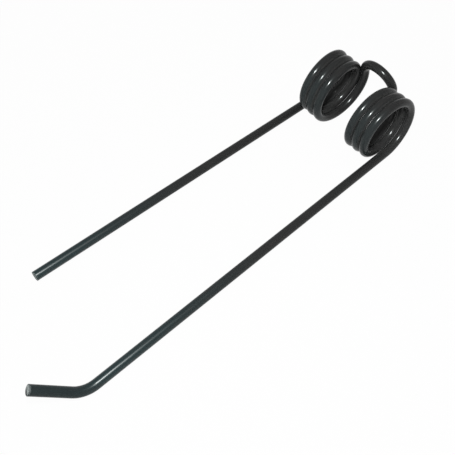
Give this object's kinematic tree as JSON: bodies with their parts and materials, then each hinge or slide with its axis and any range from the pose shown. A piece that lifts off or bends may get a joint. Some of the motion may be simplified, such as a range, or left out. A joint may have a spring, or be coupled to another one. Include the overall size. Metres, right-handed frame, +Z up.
{
  "type": "rake spring tine",
  "caption": "Hay rake or tedder spring tine of one round steel wire: mirrored coils joined by a U-shaped clamp loop, a short straight tine and a longer tine with a bent tip.",
  "frame": {"origin": "centre of the clamp loop between the coils, where the clamp bolt goes through", "axes": "+X runs along the coils towards the bent tine, the tines point along -Y, +Z is up with the part lying on a floor"},
  "size_m": [0.1365, 0.4689, 0.0775],
  "materials": {
    "black_paint": "smooth gloss black paint over spring steel wire"
  },
  "bodies": {
    "root": {"spring_tine": "black_paint"}
  },
  "joints": []
}
